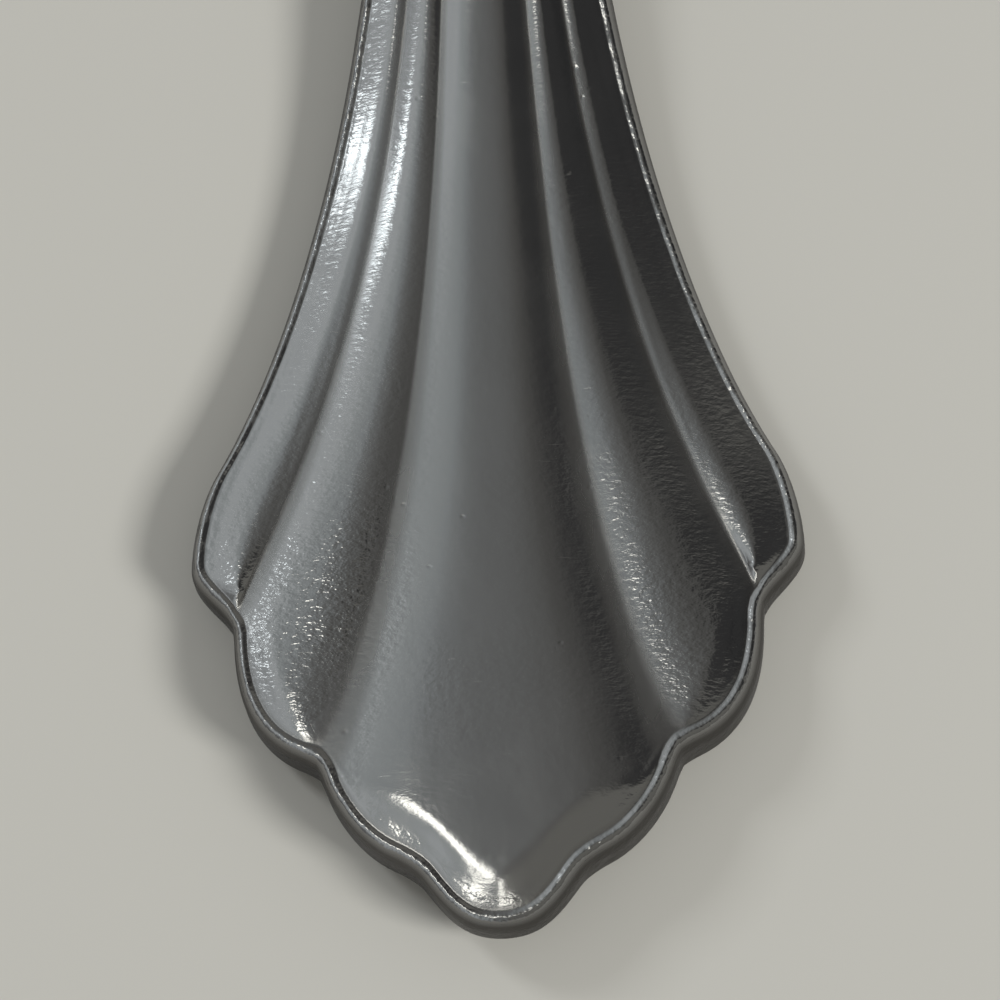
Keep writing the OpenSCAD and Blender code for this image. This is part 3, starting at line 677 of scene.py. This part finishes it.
def add_grid(grid, walls, panel):
    """Adds a grid's top and underside, and walls along the named sides. panel is
    1 where the surface is as smooth as the centre panel."""
    rise, bead, side = (grid[..., column].reshape(-1) for column in (RISE, BEAD, SIDE))
    smooth = (panel * ease((grid[..., RISE] - PANEL_START) / PANEL_RUN)).reshape(-1)
    none = np.zeros(len(side))
    marks.append(np.stack([rise, bead, smooth, side], axis=-1))
    marks.append(np.stack([none + 1, none, none + 1, side], axis=-1))
    n, m = grid.shape[:2]
    at = sum(len(p) for p in points) + np.arange(n * m).reshape(n, m)
    under = at + n * m
    points.append(grid[..., TOP_POINT].reshape(-1, 3))
    points.append(grid[..., LOW_POINT].reshape(-1, 3))
    for quad in ((at[:-1, :-1], at[:-1, 1:], at[1:, 1:], at[1:, :-1]),
                 (under[:-1, :-1], under[1:, :-1], under[1:, 1:], under[:-1, 1:])):
        faces.append(np.stack(quad, axis=-1).reshape(-1, 4))
    sides = {"first": (at[0], under[0]), "last": (at[-1, ::-1], under[-1, ::-1]),
             "right": (at[:, -1], under[:, -1]), "left": (at[::-1, 0], under[::-1, 0])}
    for name in walls:
        high, deep = sides[name]
        faces.append(np.stack([high[1:], high[:-1], deep[:-1], deep[1:]], axis=-1))


add_grid(whole(centre_grid), ["first"], 1.0)
add_grid(inner_grid, ["first"], 0.0)
add_grid(mirrored(inner_grid), ["first"], 0.0)
add_grid(outer_grid, ["right"], 0.0)
add_grid(mirrored(outer_grid), ["left"], 0.0)
middle = np.abs(np.arange(2 * COLUMNS - 1) - (COLUMNS - 1)) < len(half_shares)
faded = 1 - flute_scale(np.concatenate([[FAN_REACH], stations])) / SHANK_FLUTE
add_grid(whole(np.concatenate([fan_end[None], loft_grid])), ["left", "right", "last"],
         np.maximum(middle[None], faded[:, None]))

# Equal points become one, and a face that loses a corner becomes a triangle
raw = np.concatenate(points)
raw[:, 1] -= SPOON_LENGTH / 2
first, twin = np.unique(np.round(raw / WELD).astype(np.int64), axis=0,
                        return_index=True, return_inverse=True)[1:]
corners = twin.reshape(-1)[np.concatenate(faces)]
corners = corners[(corners[:, 0] != corners[:, 2]) & (corners[:, 1] != corners[:, 3])]
doubled = corners == np.roll(corners, 1, axis=1)
quads = corners[doubled.sum(axis=1) == 0]
cut_short = doubled.sum(axis=1) == 1
triangles = corners[cut_short][~doubled[cut_short]].reshape(-1, 3)

mesh = bpy.data.meshes.new("stamped_spoon")
mesh.from_pydata((raw[first] * MM).tolist(), [], quads.tolist() + triangles.tolist())
mesh.update()
mesh.validate()
mesh.polygons.foreach_set("use_smooth", np.ones(len(mesh.polygons), dtype=bool))
for column, name in enumerate(("rise", "bead", "panel", "side")):
    layer = mesh.attributes.new(name, "FLOAT", "POINT")
    layer.data.foreach_set("value", np.concatenate(marks)[first, column].astype(np.float32))
spoon = bpy.data.objects.new("stamped_spoon", mesh)
bpy.context.scene.collection.objects.link(spoon)
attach(spoon, "root")
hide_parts("bowl", "neck", "plain_shank", "fluted_shank", "centre_panel",
            "right_inner_petal", "left_inner_petal", "right_outer_petal", "left_outer_petal")

# Steel: stainless, polished when it left the die and worn since. The petals keep
# fine wrinkles and grain across the flutes, most of all at their ends, while the
# panel is smooth. There are scratches and nicks and dull valleys. The edge carries
# a painted shade, for the shaded table that its walls mirror.
STEEL_TONE = (0.63, 0.63, 0.615, 1)
VALLEY_TONE = (0.4, 0.39, 0.37, 1)
# The edge's tone and its share are painted shade, for the shaded table that the walls mirror
EDGE_PAINTED_SHADE = (0.165, 0.158, 0.148, 1)
VALLEY_TINT = 0.6
EDGE_SHADE_SHARE = 0.95

# Kinds of noise: features to a metre along x, y and z, detail and roughness
GRAIN = ((1200, 9000, 1200), 3, 0.6)
WRINKLE = ((2700, 4800, 2700), 2, 0.6)
PEEL = ((2600, 2600, 2600), 2, 0.5)
WANDER = ((500, 350, 500), 2, 0.5)
PATCHES = ((170, 130, 170), 2, 0.5)
SMUDGE = ((260, 190, 260), 3, 0.6)
EDGE_DENTS = ((1100, 1100, 1100), 3, 0.6)
NICK_PATCHES = ((520, 520, 520), 1, 0.5)
NICKS_TO_A_METRE = 1500
BENDS_TO_A_METRE = 160
BEND_DETAIL = 2
BEND = (0.0012, 0.0012, 0.0012)

# Three sets of scratches: turn in radians, the noise, and the range in which a
# scratch comes up from it
SCRATCHES = ((0.6, ((300, 12000, 300), 1, 0.5), (0.8, 0.88)),
             (-0.35, ((13000, 350, 350), 1, 0.5), (0.79, 0.87)),
             (0.0, ((380, 15000, 380), 1, 0.5), (0.77, 0.86)))

# Ranges of smooth steps: from, to, and what they give there if not 0 and 1.
# Those along and across the spoon are in metres.
WORKED_RISE = (0.05, 0.4, 0.25, 1.0)
PATCH_RANGE = (0.35, 0.62, 1.6, 4.0)
ENDS_ALONG = (-0.069, -0.08)
ENDS_ACROSS = (0.0, -0.004, 0.12, 1.0)
TOWARDS_SHANK = (-0.071, -0.063, 1.0, 0.55)
NICK_SIZE = (0.26, 0.02)
FEW_NICKS = (0.65, 0.7)
VALLEY_RISE = (0.0, 0.22, 1.0, 0.0)
ROUGHNESS = (0.35, 0.7, 0.12, 0.2)

# How much calmer the panel is, how much richer the petals' ends are, and how
# strong each layer is in the bump, whose unit is in metres
PANEL_CALM = 0.75
ENDS_GAIN = 2.1
GRAIN_HEIGHT = 0.5
PEEL_HEIGHT = 0.6
WANDER_HEIGHT = 1.2
SCRATCH_HEIGHT = -0.35
DENT_HEIGHT = 24.0
NICK_HEIGHT = -2.6
BUMP_UNIT = 0.000005

# What each layer adds to the roughness
WORKED_GLOSS = -0.03
SCRATCH_DULL = 0.06
VALLEY_DULL = 0.12
EDGE_DULL = 0.12

steel = bpy.data.materials.new("steel")
steel.use_nodes = True
tree = steel.node_tree
shader = tree.nodes["Principled BSDF"]


def link(tree, value, socket):
    """Sets a socket from a number, a colour or another node's output."""
    if isinstance(value, bpy.types.NodeSocket):
        tree.links.new(value, socket)
    else:
        socket.default_value = value


def calc(tree, kind, a, b=0.0, c=0.0):
    """A math node's output."""
    node = tree.nodes.new("ShaderNodeMath")
    node.operation = kind
    for value, socket in zip((a, b, c), node.inputs):
        link(tree, value, socket)
    return node.outputs[0]


def smooth_range(tree, value, low, high, out_low=0.0, out_high=1.0):
    """A smooth step of a value from one range to another."""
    node = tree.nodes.new("ShaderNodeMapRange")
    node.interpolation_type = "SMOOTHSTEP"
    for amount, socket in zip((value, low, high, out_low, out_high), node.inputs):
        link(tree, amount, socket)
    return node.outputs[0]


def blend(tree, amount, first, second):
    """The first colour where the amount is 0, the second where it is 1."""
    node = tree.nodes.new("ShaderNodeMix")
    node.data_type = "RGBA"
    for value, name in ((amount, "Factor"), (first, "A"), (second, "B")):
        link(tree, value, node.inputs[name])
    return node.outputs["Result"]


def axes(tree, vector):
    """The node that parts a vector into X, Y and Z."""
    node = tree.nodes.new("ShaderNodeSeparateXYZ")
    tree.links.new(vector, node.inputs[0])
    return node.outputs


def noise(tree, place, scale, detail, roughness):
    """Noise whose features have their own size along each axis."""
    mapping = tree.nodes.new("ShaderNodeMapping")
    mapping.inputs["Scale"].default_value = scale
    tree.links.new(place, mapping.inputs["Vector"])
    node = tree.nodes.new("ShaderNodeTexNoise")
    node.inputs["Scale"].default_value = 1
    node.inputs["Detail"].default_value = detail
    node.inputs["Roughness"].default_value = roughness
    tree.links.new(mapping.outputs[0], node.inputs["Vector"])
    return node.outputs["Fac"]


def attribute(tree, name):
    """A mark that the mesh carries at each vertex."""
    node = tree.nodes.new("ShaderNodeAttribute")
    node.attribute_name = name
    return node.outputs["Fac"]


rise = attribute(tree, "rise")
bead = attribute(tree, "bead")
panel = attribute(tree, "panel")
side = attribute(tree, "side")
coordinates = tree.nodes.new("ShaderNodeTexCoord").outputs["Object"]
spot = axes(tree, coordinates)

# Object coordinates, bent a little so that no line of wear is quite straight
warp = tree.nodes.new("ShaderNodeTexNoise")
warp.inputs["Scale"].default_value = BENDS_TO_A_METRE
warp.inputs["Detail"].default_value = BEND_DETAIL
tree.links.new(coordinates, warp.inputs["Vector"])
bending = tree.nodes.new("ShaderNodeVectorMath")
bending.operation = "MULTIPLY_ADD"
tree.links.new(warp.outputs["Color"], bending.inputs[0])
bending.inputs[1].default_value = BEND
tree.links.new(coordinates, bending.inputs[2])
bent = bending.outputs[0]

# How worked the die left the surface: little on the panel and in the valleys,
# more in patches and at the ends of the left petals, less towards the shank
grain = calc(tree, "SUBTRACT", noise(tree, bent, *GRAIN), 0.5)
wrinkle = calc(tree, "SUBTRACT", noise(tree, bent, *WRINKLE), 0.5)
worked = calc(tree, "SUBTRACT", 1.0, calc(tree, "MULTIPLY", panel, PANEL_CALM))
worked = calc(tree, "MULTIPLY", worked, smooth_range(tree, rise, *WORKED_RISE))
patches = smooth_range(tree, noise(tree, coordinates, *PATCHES), *PATCH_RANGE)
ends = calc(tree, "MULTIPLY", smooth_range(tree, spot["Y"], *ENDS_ALONG),
            smooth_range(tree, spot["X"], *ENDS_ACROSS))
patches = calc(tree, "MULTIPLY_ADD", calc(tree, "MULTIPLY", patches, ends), ENDS_GAIN, patches)
patches = calc(tree, "MULTIPLY", patches, smooth_range(tree, spot["Y"], *TOWARDS_SHANK))

# Scratches are thin lines of stretched noise, and nicks the middles of cells
scratch = 0.0
for turned_by, kind, comes_up in SCRATCHES:
    turned = tree.nodes.new("ShaderNodeMapping")
    turned.inputs["Rotation"].default_value = (0, 0, turned_by)
    tree.links.new(bent, turned.inputs["Vector"])
    line = smooth_range(tree, noise(tree, turned.outputs[0], *kind), *comes_up)
    scratch = calc(tree, "MAXIMUM", scratch, line)
cells = tree.nodes.new("ShaderNodeTexVoronoi")
cells.inputs["Scale"].default_value = NICKS_TO_A_METRE
tree.links.new(bent, cells.inputs["Vector"])
few = smooth_range(tree, noise(tree, coordinates, *NICK_PATCHES), *FEW_NICKS)
nick = calc(tree, "MULTIPLY", smooth_range(tree, cells.outputs["Distance"], *NICK_SIZE), few)
edge_dents = calc(tree, "MULTIPLY", noise(tree, coordinates, *EDGE_DENTS),
                  calc(tree, "MAXIMUM", bead, side))

height = calc(tree, "MULTIPLY", calc(tree, "MULTIPLY", grain, GRAIN_HEIGHT), worked)
for layer, amount in ((calc(tree, "MULTIPLY", wrinkle, worked), patches),
                      (noise(tree, coordinates, *PEEL), PEEL_HEIGHT),
                      (noise(tree, coordinates, *WANDER), WANDER_HEIGHT),
                      (scratch, SCRATCH_HEIGHT),
                      (edge_dents, DENT_HEIGHT),
                      (nick, NICK_HEIGHT)):
    height = calc(tree, "MULTIPLY_ADD", layer, amount, height)
bump = tree.nodes.new("ShaderNodeBump")
bump.inputs["Strength"].default_value = 1
bump.inputs["Distance"].default_value = BUMP_UNIT
tree.links.new(height, bump.inputs["Height"])
tree.links.new(bump.outputs[0], shader.inputs["Normal"])

# The valleys are duller and darker than the petals, and the edge is darker still:
# its darker tone is painted shade, for the shaded table that the walls mirror
valley = smooth_range(tree, rise, *VALLEY_RISE)
valley = calc(tree, "MULTIPLY", valley, calc(tree, "SUBTRACT", 1.0, bead))
rough = smooth_range(tree, noise(tree, coordinates, *SMUDGE), *ROUGHNESS)
for mask, amount in ((worked, WORKED_GLOSS), (scratch, SCRATCH_DULL),
                     (valley, VALLEY_DULL), (side, EDGE_DULL)):
    rough = calc(tree, "MULTIPLY_ADD", mask, amount, rough)
tree.links.new(rough, shader.inputs["Roughness"])
tone = blend(tree, calc(tree, "MULTIPLY", valley, VALLEY_TINT), STEEL_TONE, VALLEY_TONE)
# Painted shade on the edge's walls
tone = blend(tree, calc(tree, "MULTIPLY", side, EDGE_SHADE_SHARE), tone, EDGE_PAINTED_SHADE)
tree.links.new(tone, shader.inputs["Base Color"])
shader.inputs["Metallic"].default_value = 1
mesh.materials.append(steel)

# Table: the plain pale surface that the spoon lies on, painted and matt. The
# steel mirrors it darker than it looks, because the spoon shades what it mirrors.
# Its half width is in metres.
TABLE_HALF = 3
TABLE_ROUGHNESS = 0.8
TABLE_TONE = (0.64, 0.632, 0.588, 1)
MIRRORED_TABLE = (0.34, 0.335, 0.32, 1)
table_mesh = bpy.data.meshes.new("table")
table_mesh.from_pydata([(-TABLE_HALF, -TABLE_HALF, 0), (TABLE_HALF, -TABLE_HALF, 0),
                        (TABLE_HALF, TABLE_HALF, 0), (-TABLE_HALF, TABLE_HALF, 0)], [], [(0, 1, 2, 3)])
table = bpy.data.objects.new("table", table_mesh)
bpy.context.scene.collection.objects.link(table)
paint = bpy.data.materials.new("table")
paint.use_nodes = True
paint_tree = paint.node_tree
in_mirror = paint_tree.nodes.new("ShaderNodeLightPath").outputs["Is Glossy Ray"]
paint_shader = paint_tree.nodes["Principled BSDF"]
table_tone = blend(paint_tree, in_mirror, TABLE_TONE, MIRRORED_TABLE)
paint_tree.links.new(table_tone, paint_shader.inputs["Base Color"])
paint_shader.inputs["Roughness"].default_value = TABLE_ROUGHNESS
table_mesh.materials.append(paint)

# Room: what the steel mirrors, by the direction in which it lies. It is pale on
# the left, dim overhead and dark on the right, where a paler wash leaves out a
# band towards the bowl. A window strip, two lamps and a dark place lie over that.
STOPS = ((0.0, (0.12, 0.12, 0.12)), (0.07, (0.17, 0.175, 0.18)), (0.14, (0.33, 0.345, 0.36)),
         (0.26, (0.42, 0.44, 0.455)), (0.3, (0.32, 0.34, 0.35)), (0.38, (0.245, 0.26, 0.27)),
         (0.44, (0.17, 0.175, 0.178)), (0.5, (0.13, 0.131, 0.131)), (0.56, (0.095, 0.094, 0.092)),
         (0.64, (0.07, 0.069, 0.067)), (0.72, (0.045, 0.045, 0.045)), (0.79, (0.03, 0.03, 0.031)),
         (0.87, (0.02, 0.021, 0.022)), (0.94, (0.12, 0.12, 0.118)), (1.0, (0.3, 0.3, 0.29)))
WASH_TONE = (0.15, 0.147, 0.138, 1)
LAMP_TONE = (2.5, 2.45, 2.3, 1)
DARK_TONE = (0.036, 0.036, 0.037, 1)
STRIP_TONE = (2.7, 2.9, 3.05, 1)
FILL_TONE = (1, 0.995, 0.97, 1)
FILL_STRENGTH = 0.3
ON_THE_RIGHT = (0.02, 0.2)
BELOW_BAND = (0.3, 0.18)
ABOVE_BAND = (0.6, 0.75)
OVERHEAD = (0.0, 0.2)

# Rectangles of directions, as the soft edges where x comes in and goes out, and
# then y
LAMP = ((-0.33, -0.28), (-0.18, -0.23), (-0.22, -0.16), (0.29, 0.24))
LOW_LAMP = ((-0.11, -0.07), (0.04, 0.0), (-0.33, -0.29), (-0.16, -0.2))
DARK_PLACE = ((0.2, 0.3), (0.62, 0.5), (0.12, 0.2), (0.6, 0.5))
WINDOW_STRIP = ((-0.65, -0.62), (-0.56, -0.59), (0.43, 0.47), (0.54, 0.49))

world = bpy.data.worlds.new("studio")
world.use_nodes = True
bpy.context.scene.world = world
room = world.node_tree
way = axes(room, room.nodes.new("ShaderNodeTexCoord").outputs["Generated"])


def within(axis, comes_in, goes_out):
    """1 between two soft edges along an axis: a product of two smooth steps."""
    return calc(room, "MULTIPLY", smooth_range(room, way[axis], *comes_in),
                smooth_range(room, way[axis], *goes_out))


def patch(x_in, x_out, y_in, y_out):
    """1 in a rectangle of directions and 0 outside it."""
    return calc(room, "MULTIPLY", within("X", x_in, x_out), within("Y", y_in, y_out))


# The run of greys goes from the left, where x is -1, to the right, where it is 1
ramp = room.nodes.new("ShaderNodeValToRGB")
room.links.new(calc(room, "MULTIPLY_ADD", way["X"], 0.5, 0.5), ramp.inputs[0])
for element, (where, colour) in zip(ramp.color_ramp.elements, (STOPS[0], STOPS[-1])):
    element.position = where
    element.color = (*colour, 1)
for where, colour in STOPS[1:-1]:
    ramp.color_ramp.elements.new(where).color = (*colour, 1)
off_band = calc(room, "MAXIMUM", smooth_range(room, way["Y"], *BELOW_BAND),
                smooth_range(room, way["Y"], *ABOVE_BAND))
wash = calc(room, "MULTIPLY", smooth_range(room, way["X"], *ON_THE_RIGHT), off_band)
lamps = calc(room, "MULTIPLY", calc(room, "MAXIMUM", patch(*LAMP), patch(*LOW_LAMP)),
             smooth_range(room, way["Z"], *OVERHEAD))
mirrored_room = ramp.outputs[0]
for amount, colour in ((wash, WASH_TONE), (lamps, LAMP_TONE),
                       (patch(*DARK_PLACE), DARK_TONE), (patch(*WINDOW_STRIP), STRIP_TONE)):
    mirrored_room = blend(room, amount, mirrored_room, colour)

# Mirrors see that room, and everything else is lit by an even fill
seen = room.nodes.new("ShaderNodeBackground")
room.links.new(mirrored_room, seen.inputs[0])
fill = room.nodes["Background"]
fill.inputs[0].default_value = FILL_TONE
fill.inputs[1].default_value = FILL_STRENGTH
choose = room.nodes.new("ShaderNodeMixShader")
room.links.new(room.nodes.new("ShaderNodeLightPath").outputs["Is Glossy Ray"], choose.inputs[0])
room.links.new(fill.outputs[0], choose.inputs[1])
room.links.new(seen.outputs[0], choose.inputs[2])
room.links.new(choose.outputs[0], room.nodes["World Output"].inputs[0])

# Lights: two soft cards that shade the table and are not mirrored. Each has its
# direction from the fan, its width and height in metres, its watts and colour.
LIGHT_DISTANCE = 1.3
LIT_PLACE = Vector((0, -0.07, 0))
CARDS = (("key", (0.74, -0.43, 0.62), 0.36, 0.3, 10.5, (1, 0.99, 0.96)),
         ("window", (-0.62, 0.45, 0.66), 0.25, 0.4, 3.5, (0.96, 0.98, 1)))
for name, towards, card_width, card_height, power, colour in CARDS:
    data = bpy.data.lights.new(name, "AREA")
    data.shape = "RECTANGLE"
    data.size = card_width
    data.size_y = card_height
    data.energy = power
    data.color = colour
    card = bpy.data.objects.new(name, data)
    towards = Vector(towards).normalized()
    card.location = LIT_PLACE + towards * LIGHT_DISTANCE
    card.rotation_euler = (-towards).to_track_quat("-Z", "Y").to_euler()
    card.visible_camera = False
    card.visible_glossy = False
    bpy.context.scene.collection.objects.link(card)

# Camera at the photograph's angle: 23 degrees from straight above, towards the
# tip, a little to the right and turned a little. Its sizes are in millimetres.
TILT = math.radians(23)
SIDE_WAYS = math.radians(3.6)
ROLL = math.radians(-1.15)
DISTANCE = 200.0
TARGET = Vector((0.33, -72.5, 4.1))
LENS = 181.44
SENSOR = 36
NEAREST = 10
view = Vector((math.sin(SIDE_WAYS), -math.sin(TILT) * math.cos(SIDE_WAYS),
               math.cos(TILT) * math.cos(SIDE_WAYS))).normalized()
right = Vector((0, 1, 0)).cross(view).normalized()
up = view.cross(right)
cam_right = math.cos(ROLL) * right + math.sin(ROLL) * up
cam_up = -math.sin(ROLL) * right + math.cos(ROLL) * up
eye = (TARGET + view * DISTANCE) * MM
camera_data = bpy.data.cameras.new("camera")
camera_data.lens = LENS
camera_data.sensor_width = SENSOR
camera_data.clip_start = NEAREST * MM
camera = bpy.data.objects.new("camera", camera_data)
camera.matrix_world = Matrix((
    (cam_right.x, cam_up.x, view.x, eye.x),
    (cam_right.y, cam_up.y, view.y, eye.y),
    (cam_right.z, cam_up.z, view.z, eye.z),
    (0, 0, 0, 1)))
bpy.context.scene.collection.objects.link(camera)
bpy.context.scene.camera = camera
bpy.context.scene.view_settings.view_transform = "Standard"
